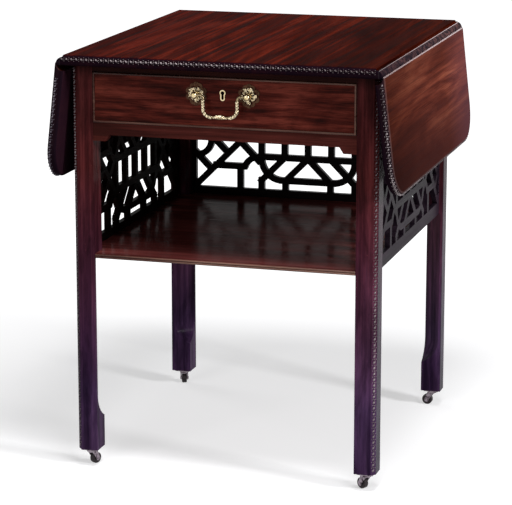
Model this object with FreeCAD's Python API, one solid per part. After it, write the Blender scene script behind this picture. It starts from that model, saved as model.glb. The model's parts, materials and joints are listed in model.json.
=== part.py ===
# Supper table: drop leaves on rule joints, a frieze drawer, and an open shelf
# enclosed by pierced fretwork, on stop-chamfered square legs with castors.
# Millimetres. Origin on the floor under the middle, +Z up, the drawer faces -Y.
import FreeCAD, Part
import math
import os

V = FreeCAD.Vector
os.makedirs("parts", exist_ok=True)

# Overall sizes
table_height = 711.0
frame_width = 520.0             # over the outer faces of the legs, left to right
frame_depth = 548.0             # over the outer faces of the legs, front to back
top_overhang = 36.0             # top beyond the legs, front and back
top_thickness = 17.0
leaf_width = 198.0              # hinge line to free edge
leaf_corner_radius = 60.0
leaf_splay = 6.5                # degrees from upright when the leaf hangs
leaf_clearance = 0.9            # hanging leaf to leg
edge_round_upper = 6.5          # moulded edge of the top and the leaves
edge_round_lower = 4.5

# Rule joint and its hinges
rule_fillet = 3.0
rule_gap = 0.5
hinge_axis_lift = 2.5           # pin centre above the underside of the top
hinge_offset = 200.0            # each hinge from the middle of the leaf
hinge_length = 60.0
hinge_plate = 1.5
hinge_plate_top_width = 30.0
hinge_plate_leaf_width = 57.0
hinge_knuckle_radius = 2.3
hinge_pin_radius = 1.2
hinge_recess_play = 0.3
hinge_shoulder = 0.5            # plate to knuckle
knuckle_gap = 0.3
running_fit = 0.05
seat_fit = 0.03

# Legs
leg_size = 36.0
leg_outer_chamfer = 7.5
leg_inner_chamfer = 31.0
foot_block_height = 54.0
stop_height = 42.0

# Levels and thicknesses of the frame
frieze_height = 118.0           # underside of the drawer rail to the top of the frame
shelf_thickness = 8.0
shelf_front_setback = 1.0
shelf_edge_round = 2.0
drawer_rail_height = 20.0
drawer_rail_depth = 44.0
front_setback = 1.0             # rails and drawer front behind the front of the legs
top_rail_thickness = 13.0
top_rail_depth = 34.0
rail_setback = 8.0              # side and back rails behind the faces of the legs
side_rail_thickness = 26.0
back_rail_thickness = 20.0
bracket_length = 29.0
bracket_height = 10.5
bracket_slant = 7.0
bracket_thickness = 14.0

# Fretwork: a centre section with slots and cartouches, a lattice at each end
fret_thickness = 9.0
fret_bar = 12.0
fret_side_border = 9.0
fret_half_height = 88.0
fret_top_border = 12.0
fret_bottom_border = 22.0
fret_lattice = 126.0            # length of each end lattice
fret_row_inner = 27.0           # bars above and below the slots, from mid height
fret_row_outer = 70.0           # outer bars of the cartouches
fret_cartouche_radius = 40.0
fret_crossing = 41.0            # crossing of the long diagonals, from the centre section
fret_diamond = 47.0             # diagonal of the small square beside the crossing
fret_arm_row = 47.0
fret_fan_radius = 29.0
fret_fan_centre_in = 5.0
fret_fan_centre_row = 57.0
fret_round_radius = 28.7
fret_brace_row = 26.0
fret_brace_run = 29.0

# Fly brackets that hold up the leaves
fly_reach = 190.0
fly_height = 60.0
fly_thickness = 14.0
fly_tip_height = 24.0
fly_tip_length = 22.0
fly_curve_length = 80.0
fly_play = 1.0
fly_top_play = 0.4
fly_block_length = 40.0
fly_pin_radius = 2.0

# Drawer
drawer_side_play = 0.8
drawer_top_play = 1.0
drawer_foot_play = 0.6          # drawer front above its rail
drawer_front_thickness = 20.0
drawer_side_thickness = 10.0
drawer_side_drop = 12.0         # drawer sides stand this much lower than the front
drawer_back_play = 29.0         # drawer back to the back rail
drawer_back_thickness = 10.0
drawer_bottom_thickness = 6.0
drawer_bottom_lift = 10.0
groove_depth = 4.0
bead_width = 3.2
bead_depth = 9.0
bead_projection = 2.6
bead_round = 1.4
runner_width = 20.0
runner_height = 18.0
kicker_height = 8.0
stop_length = 34.0
stop_width = 18.0
stop_thickness = 6.0
stop_offset = 120.0

# Lock and keyhole
lock_width = 56.0
lock_foot_margin = 6.0          # lock case below the keyhole
lock_thickness = 11.0
bolt_width = 20.0
bolt_thickness = 5.0
bolt_height = 16.0
bolt_throw = 5.0
bolt_play = 0.3
bolt_mortise_play = 1.0
keyhole_drop = 25.0             # keyhole below the head of the drawer front
keyhole_radius = 3.2
keyhole_slot = 4.0
keyhole_slot_drop = 9.0
escutcheon_rim = 1.8
escutcheon_projection = 1.2
escutcheon_depth = 4.0

# Drop handle
handle_span = 89.0
handle_drop = 28.0              # handle posts below the head of the drawer front
plate_thickness = 1.6
plate_disc_radius = 11.0
plate_petals = 8
plate_petal_radius = 5.6
plate_petal_distance = 13.0
plate_crest_radius = 5.0
plate_crest_distance = 14.8
plate_piercing_radius = 1.9
plate_piercing_distance = 12.0
post_radius = 3.0
ball_radius = 5.6
ball_standoff = 14.0            # ball centre in front of the drawer front
collar_radius = 5.0
collar_thickness = 2.0
nut_radius = 7.0
nut_thickness = 4.0
bail_wire_radius = 2.3
bail_pin_radius = 1.7
bail_pin_length = 4.0
bail_drop = 35.0
bail_shoulder_radius = 6.0
bail_corner_radius = 14.0
bail_swell_radius = 3.8
bail_swell_half_length = 10.0

# Castors
caster_height = 30.0
caster_plate_inset = 4.5        # castor plate inside the faces of the leg
caster_plate_thickness = 2.5
caster_pivot_radius = 3.0
caster_head_radius = 4.4
caster_head_thickness = 1.4
caster_disc_radius = 8.0
caster_disc_thickness = 4.2
caster_gap = 0.6
wheel_radius = 9.5
wheel_width = 9.0
wheel_edge_chamfer = 1.2
wheel_side_gap = 0.6
caster_trail = 9.0
fork_arm = 2.2
fork_boss_radius = 4.0
axle_radius = 1.5
axle_head_radius = 2.4
axle_head_thickness = 0.8
# The way each castor trails, in degrees from +X
caster_turn = {"front_left": 60.0, "front_right": 150.0, "back_left": 105.0, "back_right": 175.0}

# Worked out from the sizes above
half_w = frame_width / 2
half_d = frame_depth / 2
top_depth = frame_depth + 2 * top_overhang
frame_top = table_height - top_thickness
inner_w = half_w - leg_size
inner_d = half_d - leg_size
splay = math.radians(leaf_splay)
rule_radius = top_thickness - rule_fillet - hinge_axis_lift
hinge_x = (half_w + leaf_clearance + hinge_axis_lift * math.cos(splay)
           - (rule_radius + rule_gap) * math.sin(splay))
hinge_z = frame_top + hinge_axis_lift
drawer_rail_underside = frame_top - frieze_height
drawer_rail_top = drawer_rail_underside + drawer_rail_height
shelf_underside = drawer_rail_underside - fret_top_border - 2 * fret_half_height - fret_bottom_border
shelf_level = shelf_underside + shelf_thickness
rail_outer_x = half_w - rail_setback
rail_inner_x = rail_outer_x - side_rail_thickness
rail_outer_y = half_d - rail_setback
front_y = -half_d + front_setback
far = table_height              # longer than any cut needs to be


def box(x0, x1, y0, y1, z0, z1):
    return Part.makeBox(x1 - x0, y1 - y0, z1 - z0, V(x0, y0, z0))


def rod(radius, start, axis, length):
    return Part.makeCylinder(radius, length, start, axis)


def tube(radius, bore, start, axis, length):
    return rod(radius, start, axis, length).cut(rod(bore, start, axis, length))


def fused(shapes):
    return shapes[0].multiFuse(shapes[1:]).removeSplitter()


def mirrored_x(shape):
    return shape.mirror(V(0, 0, 0), V(1, 0, 0))


def pair_x(shape):
    return Part.makeCompound([shape, mirrored_x(shape)])


def outline(points):
    return Part.makePolygon(points + points[:1]).Edges


def prism(edges, length):
    wire = Part.Wire(Part.__sortEdges__(edges))
    return Part.Face(wire).extrude(V(0, 0, length))


def stand(shape, origin, along, up):
    # Turn a shape drawn flat, so that its x runs along and its y runs up.
    turned = shape.copy()
    turn = FreeCAD.Placement(origin, FreeCAD.Rotation(along, up, along.cross(up), "XYZ"))
    turned.Placement = turn.multiply(shape.Placement)
    return turned


def arc_between(start, end, centre):
    middle = (start - centre) + (end - centre)
    middle.normalize()
    return Part.Arc(start, centre + middle * (start - centre).Length, end).toShape()


def ogee(start, end):
    # Two equal arcs from start to end that begin and finish level.
    half = (end - start) * 0.5
    across = V(0, half.y, 0)
    radius = half.Length ** 2 / (2 * across.Length)
    across.normalize()
    middle = start + half
    return [arc_between(start, middle, start + across * radius),
            arc_between(middle, end, end - across * radius)]


def save(node, shape):
    shape.exportStep("parts/" + node + ".step")


# Legs: square, outer corner taken off for the carved run, inner corner chamfered
# between the shelf and a swept stop over a square foot
def leg(sx, sy):
    x1, y1 = sx * half_w, sy * half_d
    x0, y0 = x1 - sx * leg_size, y1 - sy * leg_size
    c = leg_outer_chamfer
    plan = [V(x0, y0, 0), V(x1, y0, 0), V(x1, y1 - sy * c, 0), V(x1 - sx * c, y1, 0), V(x0, y1, 0)]
    post = prism(outline(plan), frame_top - caster_height)
    post.translate(V(0, 0, caster_height))
    block_top = caster_height + foot_block_height
    depth = leg_inner_chamfer / math.sqrt(2)
    lower = V(0, block_top, 0)
    upper = V(-depth, block_top + stop_height, 0)
    sweep = (depth ** 2 + stop_height ** 2) / (2 * depth)
    edges = [arc_between(lower, upper, upper + V(sweep, 0, 0))]
    edges += Part.makePolygon([upper, V(-depth, shelf_underside, 0), V(leg_size, shelf_underside, 0),
                               V(leg_size, block_top, 0), lower]).Edges
    cutter = prism(edges, 2 * leg_size)
    cutter.translate(V(0, 0, -leg_size))
    inward = V(-sx, -sy, 0)
    inward.normalize()
    return post.cut(stand(cutter, V(x0, y0, 0), inward, V(0, 0, 1)))


# Fretwork panel drawn flat round its own middle
def fret(panel_width, below, above):
    half = panel_width / 2 - fret_side_border
    centre = half - fret_lattice
    pitch = centre / 2

    def bar(u0, v0, u1, v1):
        run = V(u1 - u0, v1 - v0, 0)
        run.normalize()
        side = V(-run.y, run.x, 0) * (fret_bar / 2)
        lap = run * (fret_bar / 2)
        a, b = V(u0, v0, 0) - lap, V(u1, v1, 0) + lap
        return prism(outline([a - side, b - side, b + side, a + side]), fret_thickness)

    def ring(u, v, radius, u0, u1, v0, v1):
        up = V(0, 0, 1)
        whole = tube(radius + fret_bar / 2, radius - fret_bar / 2, V(u, v, 0), up, fret_thickness)
        return whole.common(box(u0, u1, v0, v1, 0, fret_thickness))

    edge = fret_half_height
    cross = centre + fret_crossing
    diamond = cross + fret_diamond
    fan = centre + fret_fan_centre_in
    reach = fret_row_outer - fret_row_inner
    knee = fret_row_inner + centre - pitch
    bend = centre - fret_cartouche_radius
    bend_row = fret_row_outer - fret_cartouche_radius
    arm_end = fan + fret_fan_radius
    half_bar = fret_bar / 2
    brace_end = half - fret_brace_run
    brace_foot = fret_brace_row + fret_brace_run
    bars = [bar(k * pitch, 0, k * pitch, fret_row_inner) for k in range(3)]
    bars += [bar(0, fret_row_inner, centre, fret_row_inner),
             bar(0, fret_row_outer, bend, fret_row_outer),
             bar(0, fret_row_inner, reach, fret_row_outer),
             bar(reach, fret_row_outer, reach, edge),
             bar(pitch, fret_row_inner, centre, knee),
             bar(centre, knee, centre, edge),
             bar(cross, 0, centre + half_bar, cross - centre - half_bar),
             bar(cross, 0, cross + edge, edge),
             bar(diamond, 0, cross + fret_diamond / 2, fret_diamond / 2),
             bar(arm_end, fret_arm_row, cross + fret_arm_row, fret_arm_row),
             bar(cross, fret_arm_row, cross, edge),
             bar(half, fret_brace_row, brace_end, brace_foot),
             ring(bend, bend_row, fret_cartouche_radius, bend, half, bend_row, edge),
             bar(centre, fret_row_inner, centre, bend_row),
             ring(fan, fret_fan_centre_row, fret_fan_radius, fan - half_bar, half,
                  0, fret_fan_centre_row - half_bar),
             ring(half, 0, fret_round_radius, 0, half, 0, edge)]
    quarter = fused(bars).common(box(0, half, 0, edge, 0, fret_thickness))
    side = quarter.mirror(V(0, 0, 0), V(1, 0, 0))
    row = fused([quarter, side])
    pattern = fused([row, row.mirror(V(0, 0, 0), V(0, 1, 0))])
    half_panel = panel_width / 2
    border = box(-half_panel, half_panel, -below, above, 0, fret_thickness)
    border = border.cut(box(-half, half, -edge, edge, 0, fret_thickness))
    return fused([border, pattern])


# Top board: moulded along the front and back, an ovolo along each hinge line
def moulded_edges(half, z0, z1):
    lower, upper = edge_round_lower, edge_round_upper
    edges = []
    for side in (1, -1):
        foot, low = V(side * (half - lower), z0, 0), V(side * half, z0 + lower, 0)
        high, head = V(side * half, z1 - upper, 0), V(side * (half - upper), z1, 0)
        edges = edges + [arc_between(foot, low, V(foot.x, low.y, 0)),
                         Part.makeLine(low, high),
                         arc_between(high, head, V(head.x, high.y, 0))]
    edges.append(Part.makeLine(V(lower - half, z0, 0), V(half - lower, z0, 0)))
    edges.append(Part.makeLine(V(upper - half, z1, 0), V(half - upper, z1, 0)))
    return edges


def hinge_spans():
    return [(side * hinge_offset - hinge_length / 2, side * hinge_offset + hinge_length / 2)
            for side in (-1, 1)]


def top_board():
    half_x = hinge_x + rule_radius
    half_y = top_depth / 2
    slab = prism(moulded_edges(half_y, frame_top, table_height), 2 * half_x)
    board = stand(slab, V(-half_x, 0, 0), V(0, 1, 0), V(0, 0, 1))
    pin = V(hinge_x, hinge_z, 0)
    crown = V(hinge_x, hinge_z + rule_radius, 0)
    foot = V(hinge_x + math.sqrt(rule_radius ** 2 - hinge_axis_lift ** 2), frame_top, 0)
    over, under = table_height + rule_fillet, frame_top - rule_fillet
    beyond = half_x + rule_fillet
    edges = [arc_between(crown, foot, pin)]
    edges += Part.makePolygon([foot, V(foot.x, under, 0), V(beyond, under, 0), V(beyond, over, 0),
                               V(hinge_x, over, 0), crown]).Edges
    ovolo = stand(prism(edges, 2 * half_y), V(0, half_y, 0), V(1, 0, 0), V(0, 0, 1))
    cuts = [ovolo]
    play = hinge_recess_play
    for y0, y1 in hinge_spans():
        cuts.append(rod(hinge_axis_lift + play, V(hinge_x, y0 - play, hinge_z), V(0, 1, 0),
                        y1 - y0 + 2 * play))
        cuts.append(box(hinge_x - hinge_plate_top_width - play, hinge_x, y0 - play, y1 + play,
                        frame_top, frame_top + hinge_plate))
        cuts.append(box(hinge_x - hinge_axis_lift - play, beyond, y0 - play, y1 + play,
                        frame_top, frame_top + hinge_plate + play))
    for cut in cuts:
        board = board.cut(cut).cut(mirrored_x(cut))
    return board


# Leaves, drawn level on the right-hand side and then let down
def level_leaf():
    x0, x1 = hinge_x + rule_gap, hinge_x + leaf_width
    h, r = top_depth / 2, leaf_corner_radius
    edges = [Part.makeLine(V(x0, h, 0), V(x0, -h, 0)),
             Part.makeLine(V(x0, -h, 0), V(x1 - r, -h, 0)),
             arc_between(V(x1 - r, -h, 0), V(x1, r - h, 0), V(x1 - r, r - h, 0)),
             Part.makeLine(V(x1, r - h, 0), V(x1, h - r, 0)),
             arc_between(V(x1, h - r, 0), V(x1 - r, h, 0), V(x1 - r, h - r, 0)),
             Part.makeLine(V(x1 - r, h, 0), V(x0, h, 0))]
    slab = prism(edges, top_thickness)
    slab.translate(V(0, 0, frame_top))
    for level, radius in ((table_height, edge_round_upper), (frame_top, edge_round_lower)):
        rim = [e for e in slab.Edges
               if abs(e.BoundBox.ZMin - level) + abs(e.BoundBox.ZMax - level) < rule_gap
               and e.BoundBox.XMax > x0 + rule_gap]
        slab = slab.makeFillet(radius, rim)
    cove = rule_radius + rule_gap
    slab = slab.cut(rod(cove, V(hinge_x, -h, hinge_z), V(0, 1, 0), 2 * h))
    slab = slab.cut(box(hinge_x, hinge_x + cove, -h, h, frame_top, hinge_z))
    for y0, y1 in hinge_spans():
        play = hinge_recess_play
        slab = slab.cut(box(hinge_x, hinge_x + hinge_plate_leaf_width + play, y0 - play, y1 + play,
                            frame_top, frame_top + hinge_plate))
    return slab


def hinge_half(y0, y1, side):
    # side -1: plate under the top with two knuckles; side 1: plate under the leaf with one
    reach = hinge_plate_top_width if side < 0 else hinge_plate_leaf_width
    shoulder = hinge_axis_lift + hinge_shoulder
    xs = sorted([hinge_x + side * shoulder, hinge_x + side * reach])
    pieces = [box(xs[0], xs[1], y0, y1, frame_top, frame_top + hinge_plate)]
    third = (y1 - y0) / 3
    own = (0, 2) if side < 0 else (1,)
    inner = sorted([hinge_x, hinge_x + side * shoulder])
    for i in own:
        start = y0 + i * third + knuckle_gap / 2
        length = third - knuckle_gap
        pieces.append(box(inner[0], inner[1], start, start + length, frame_top, frame_top + hinge_plate))
        pieces.append(rod(hinge_knuckle_radius, V(hinge_x, start, hinge_z), V(0, 1, 0), length))
    bore = hinge_pin_radius + (seat_fit if side < 0 else running_fit)
    return fused(pieces).cut(rod(bore, V(hinge_x, y0, hinge_z), V(0, 1, 0), y1 - y0))


def let_down(shape):
    lowered = shape.copy()
    lowered.rotate(V(hinge_x, 0, hinge_z), V(0, 1, 0), 90 - leaf_splay)
    return lowered


def hinge_pin(y0, y1):
    inset = knuckle_gap
    return rod(hinge_pin_radius, V(hinge_x, y0 + inset, hinge_z), V(0, 1, 0), y1 - y0 - 2 * inset)


# Side rail with the pocket for its fly bracket, on the right-hand side
fly_pin_x = rail_outer_x - fly_thickness / 2
fly_pin_y = -fly_reach / 2
fly_floor = frame_top - fly_height - 2 * fly_top_play
fly_block_y = fly_pin_y - fly_block_length


def side_rail():
    rail = box(rail_inner_x, rail_outer_x, -inner_d, inner_d, drawer_rail_underside, frame_top)
    pocket_x = rail_outer_x - fly_thickness - fly_play
    return rail.cut(box(pocket_x, rail_outer_x, fly_block_y, fly_pin_y + fly_reach + fly_play,
                        fly_floor, frame_top))


def fly_knuckles(levels):
    radius = fly_thickness / 2
    return [rod(radius, V(fly_pin_x, fly_pin_y, z0), V(0, 0, 1), z1 - z0) for z0, z1 in levels]


fly_third = (frame_top - fly_floor) / 3
fly_middle = (fly_floor + fly_third + fly_top_play, frame_top - fly_third - fly_top_play)
fly_outer = [(fly_floor, fly_floor + fly_third), (frame_top - fly_third, frame_top - fly_top_play)]


def fly_block():
    # Fixed end of the wooden hinge, glued in the pocket
    edge = fly_pin_y - fly_thickness / 2 - fly_play
    inside = rail_outer_x - fly_thickness - fly_play
    pieces = [box(inside, rail_outer_x, fly_block_y, edge, fly_floor, frame_top)]
    for z0, z1 in fly_outer:
        pieces.append(box(fly_pin_x - fly_thickness / 2, rail_outer_x, edge, fly_pin_y, z0, z1))
    pieces += fly_knuckles(fly_outer)
    hole = fly_pin_radius + seat_fit
    return fused(pieces).cut(rod(hole, V(fly_pin_x, fly_pin_y, fly_floor), V(0, 0, 1), fly_height * 2))


def fly_arm():
    top = fly_height
    start = fly_thickness / 2 + fly_play
    curve_end = fly_reach - fly_tip_length
    curve_start = curve_end - fly_curve_length
    tip = V(fly_reach, top - fly_tip_height, 0)
    rise = V(curve_end, top - fly_tip_height, 0)
    foot = V(curve_start, 0, 0)
    edges = ogee(foot, rise)
    edges += Part.makePolygon([rise, tip, V(fly_reach, top, 0), V(start, top, 0), V(start, 0, 0), foot]).Edges
    plate = prism(edges, fly_thickness)
    inside = rail_outer_x - fly_thickness
    origin = V(inside, fly_pin_y, fly_floor + fly_top_play)
    pieces = [stand(plate, origin, V(0, 1, 0), V(0, 0, 1))]
    z0, z1 = fly_middle
    pieces.append(box(inside, rail_outer_x, fly_pin_y, fly_pin_y + start, z0, z1))
    pieces += fly_knuckles([fly_middle])
    hole = fly_pin_radius + running_fit
    return fused(pieces).cut(rod(hole, V(fly_pin_x, fly_pin_y, z0), V(0, 0, 1), z1 - z0))


def fly_pin():
    return rod(fly_pin_radius, V(fly_pin_x, fly_pin_y, fly_floor), V(0, 0, 1),
               frame_top - fly_top_play - fly_floor)


# Frame between the legs
def corner_bracket():
    z = drawer_rail_underside
    low = z - bracket_height
    flat = bracket_length - bracket_slant
    plan = [V(inner_w, z, 0), V(inner_w, low, 0), V(inner_w - flat, low, 0),
            V(inner_w - bracket_length, z, 0)]
    solid = prism(outline(plan), bracket_thickness)
    return stand(solid, V(0, front_y + bracket_thickness, 0), V(1, 0, 0), V(0, 0, 1))


def shelf():
    side = rail_outer_x - fret_thickness
    y0 = -half_d + shelf_front_setback
    board = box(-side, side, y0, rail_outer_y - fret_thickness, shelf_underside, shelf_level)
    for sx in (-1, 1):
        for sy in (-1, 1):
            xs = sorted([sx * inner_w, sx * half_w])
            ys = sorted([sy * inner_d, sy * half_d])
            board = board.cut(box(xs[0], xs[1], ys[0], ys[1], shelf_underside, shelf_level))
    nose = [e for e in board.Edges if abs(e.BoundBox.YMin - y0) + abs(e.BoundBox.YMax - y0) < rule_gap
            and e.BoundBox.XLength > inner_w]
    return board.makeFillet(shelf_edge_round, nose)


def top_rail():
    underside = frame_top - top_rail_thickness
    rail = box(-inner_w, inner_w, front_y, front_y + top_rail_depth, underside, frame_top)
    x, y = bolt_width / 2 + bolt_mortise_play, bolt_thickness / 2 + bolt_mortise_play
    mortise_head = front_head - bolt_play + bolt_throw + bolt_mortise_play
    return rail.cut(box(-x, x, bolt_y - y, bolt_y + y, underside, mortise_head))


# Drawer
front_half = inner_w - drawer_side_play
front_foot = drawer_rail_top + drawer_foot_play
front_head = frame_top - top_rail_thickness - drawer_top_play
front_back_y = front_y + drawer_front_thickness
side_head = front_head - drawer_side_drop
drawer_end_y = rail_outer_y - back_rail_thickness - drawer_back_play
lock_height = keyhole_drop + keyhole_slot_drop + keyhole_slot / 2 + lock_foot_margin
handle_level = front_head - handle_drop
keyhole_level = front_head - keyhole_drop
bottom_level = drawer_rail_top + drawer_bottom_lift
bottom_top = bottom_level + drawer_bottom_thickness
side_inner_x = front_half - drawer_side_thickness
bolt_y = front_back_y - lock_thickness / 2
post_x = handle_span / 2
ball_y = front_y - ball_standoff


def keyhole(grow, y0, y1):
    radius, slot = keyhole_radius + grow, keyhole_slot / 2 + grow
    low = keyhole_level - keyhole_slot_drop
    along = V(0, 1, 0)
    return fused([rod(radius, V(0, y0, keyhole_level), along, y1 - y0),
                  box(-slot, slot, y0, y1, low, keyhole_level),
                  rod(slot, V(0, y0, low), along, y1 - y0)])


def bead_space(y0, inset):
    return box(inset - front_half, front_half - inset, y0, front_y + bead_depth,
               front_foot + inset, front_head - inset)


def drawer_bottom_board():
    x = side_inner_x + groove_depth
    return box(-x, x, front_back_y - groove_depth, drawer_end_y, bottom_level, bottom_top)


def lock_space():
    x = lock_width / 2
    return box(-x, x, front_back_y - lock_thickness, front_back_y, front_head - lock_height, front_head)


def drawer_front():
    board = box(-front_half, front_half, front_y, front_back_y, front_foot, front_head)
    board = board.cut(bead_space(front_y, 0).cut(bead_space(front_y, bead_width)))
    board = board.cut(drawer_bottom_board()).cut(lock_space())
    board = board.cut(keyhole(0, front_y, front_back_y))
    board = board.cut(keyhole(escutcheon_rim, front_y, front_y + escutcheon_depth))
    for sx in (-1, 1):
        board = board.cut(rod(post_radius + seat_fit, V(sx * post_x, front_y, handle_level), V(0, 1, 0),
                              drawer_front_thickness))
    return board


def cock_bead():
    nose = front_y - bead_projection
    ring = bead_space(nose, 0).cut(bead_space(front_y - far, bead_width))
    rim = [e for e in ring.Edges if abs(e.BoundBox.YMin - nose) + abs(e.BoundBox.YMax - nose) < seat_fit]
    return ring.makeFillet(bead_round, rim)


def drawer_side():
    board = box(side_inner_x, front_half, front_back_y, drawer_end_y, drawer_rail_top, side_head)
    return board.cut(drawer_bottom_board())


def drawer_back():
    return box(-side_inner_x, side_inner_x, drawer_end_y - drawer_back_thickness, drawer_end_y,
               bottom_top, side_head)


def bolt_box(play, top):
    x, y = bolt_width / 2 + play, bolt_thickness / 2 + play
    return box(-x, x, bolt_y - y, bolt_y + y, front_head - bolt_play - bolt_height, top)


def lock_case():
    case = lock_space().cut(bolt_box(bolt_play, front_head))
    return case.cut(keyhole(0, front_back_y - lock_thickness, front_back_y))


def escutcheon():
    y0, y1 = front_y - escutcheon_projection, front_y + escutcheon_depth
    return keyhole(escutcheon_rim, y0, y1).cut(keyhole(0, y0, y1))


# Drop handle: pierced backplates, ball-headed posts, swinging bail
def backplate(sx):
    y0 = front_y - plate_thickness
    along = V(0, 1, 0)
    middle = V(sx * post_x, y0, handle_level)

    def disc(radius, distance, degrees):
        a = math.radians(degrees)
        return rod(radius, middle + V(distance * math.cos(a), 0, distance * math.sin(a)), along,
                   plate_thickness)

    step = 360 / plate_petals
    pieces = [disc(plate_disc_radius, 0, 0)]
    pieces += [disc(plate_petal_radius, plate_petal_distance, (k + 0.5) * step) for k in range(plate_petals)]
    pieces += [disc(plate_crest_radius, plate_crest_distance, angle) for angle in (90, 270)]
    plate = fused(pieces)
    for k in range(plate_petals):
        plate = plate.cut(disc(plate_piercing_radius, plate_piercing_distance, (k + 0.5) * step))
    return plate.cut(disc(post_radius + seat_fit, 0, 0))


def handle_post(sx):
    along = V(0, 1, 0)
    x, z = sx * post_x, handle_level
    ball = Part.makeSphere(ball_radius, V(x, ball_y, z))
    collar_y = front_y - plate_thickness - collar_thickness
    shaft = rod(post_radius, V(x, ball_y, z), along, front_back_y + nut_thickness - ball_y)
    collar = rod(collar_radius, V(x, collar_y, z), along, collar_thickness)
    hole = rod(bail_pin_radius + running_fit, V(x, ball_y, z), V(-sx, 0, 0), ball_radius)
    return fused([ball, shaft, collar]).cut(hole)


def handle_nut(sx):
    return tube(nut_radius, post_radius + seat_fit, V(sx * post_x, front_back_y, handle_level),
                V(0, 1, 0), nut_thickness)


def bail():
    # Half of the swinging handle drawn flat and mirrored: pin, shoulder, side, corner, lower run
    neck = post_x - ball_radius - bail_pin_length
    side = neck - bail_shoulder_radius
    corner = side - bail_corner_radius
    turn = bail_drop - bail_corner_radius
    start = V(neck, 0, 0)
    p1, p2 = V(side, -bail_shoulder_radius, 0), V(side, -turn, 0)
    p3, p4 = V(corner, -bail_drop, 0), V(0, -bail_drop, 0)
    path = Part.Wire([arc_between(start, p1, V(neck, -bail_shoulder_radius, 0)), Part.makeLine(p1, p2),
                      arc_between(p2, p3, V(corner, -turn, 0)), Part.makeLine(p3, p4)])
    ring = Part.Wire([Part.makeCircle(bail_wire_radius, start, V(-1, 0, 0))])
    wire = path.makePipeShell([ring], True, False)
    pin_inner = post_x - bail_pin_radius
    pin = rod(bail_pin_radius, V(pin_inner, 0, 0), V(-1, 0, 0), pin_inner - neck)
    end, peak = V(bail_swell_half_length, bail_wire_radius, 0), V(0, bail_swell_radius, 0)
    far_end = V(-end.x, end.y, 0)
    bulge = Part.Face(Part.Wire([Part.Arc(end, peak, far_end).toShape()]
                                + Part.makePolygon([far_end, V(far_end.x, 0, 0), V(end.x, 0, 0), end]).Edges))
    swell = bulge.revolve(V(0, 0, 0), V(1, 0, 0), 360)
    swell.translate(p4)
    flat = fused([wire, pin, mirrored_x(wire), mirrored_x(pin), swell])
    return stand(flat, V(0, ball_y, handle_level), V(1, 0, 0), V(0, 0, 1))


# Castors, built trailing along +X and then turned
plate_foot = caster_height - caster_plate_thickness
disc_head = plate_foot - caster_gap
disc_foot = disc_head - caster_disc_thickness
head_top = disc_foot - caster_gap
arm_inner = wheel_width / 2 + wheel_side_gap
arm_outer = arm_inner + fork_arm


def caster_plate():
    h = leg_size / 2 - caster_plate_inset
    head_foot = head_top - caster_head_thickness
    return fused([box(-h, h, -h, h, plate_foot, caster_height),
                  rod(caster_pivot_radius, V(0, 0, head_foot), V(0, 0, 1), plate_foot - head_foot),
                  rod(caster_head_radius, V(0, 0, head_foot), V(0, 0, 1), caster_head_thickness)])


def caster_fork():
    disc = rod(caster_disc_radius, V(0, 0, disc_foot), V(0, 0, 1), caster_disc_thickness)
    root = math.sqrt(caster_disc_radius ** 2 - arm_inner ** 2)
    reach, hub = caster_trail + fork_boss_radius, wheel_radius
    back = caster_trail - fork_boss_radius
    pieces = [disc]
    for side in (-1, 1):
        start = arm_inner if side > 0 else -arm_outer
        arm = prism(outline([V(-root, disc_head, 0), V(root, disc_head, 0), V(reach, hub, 0),
                             V(back, hub, 0)]), fork_arm)
        pieces.append(stand(arm, V(0, start + fork_arm, 0), V(1, 0, 0), V(0, 0, 1)))
        pieces.append(rod(fork_boss_radius, V(caster_trail, start, hub), V(0, 1, 0), fork_arm))
    bore = rod(caster_pivot_radius + running_fit, V(0, 0, disc_foot), V(0, 0, 1), caster_disc_thickness)
    hole = rod(axle_radius + seat_fit, V(caster_trail, -arm_outer, hub), V(0, 1, 0), 2 * arm_outer)
    return fused(pieces).cut(bore).cut(hole)


def caster_axle():
    at, along = V(caster_trail, 0, wheel_radius), V(0, 1, 0)
    pieces = [rod(axle_radius, at - along * arm_outer, along, 2 * arm_outer)]
    pieces.append(rod(axle_head_radius, at + along * arm_outer, along, axle_head_thickness))
    pieces.append(rod(axle_head_radius, at - along * arm_outer, along * -1, axle_head_thickness))
    return fused(pieces)


def caster_wheel():
    at, along = V(caster_trail, -wheel_width / 2, wheel_radius), V(0, 1, 0)
    wheel = rod(wheel_radius, at, along, wheel_width)
    rims = [e for e in wheel.Edges if len(e.Vertexes) == 1]
    wheel = wheel.makeChamfer(wheel_edge_chamfer, rims)
    return wheel.cut(rod(axle_radius + running_fit, at, along, wheel_width))


def at_foot(shape, name, turned):
    sx = 1 if name.endswith("right") else -1
    sy = 1 if name.startswith("back") else -1
    moved = shape.copy()
    if turned:
        moved.rotate(V(0, 0, 0), V(0, 0, 1), caster_turn[name])
    moved.translate(V(sx * (half_w - leg_size / 2), sy * (half_d - leg_size / 2), 0))
    return moved


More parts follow.
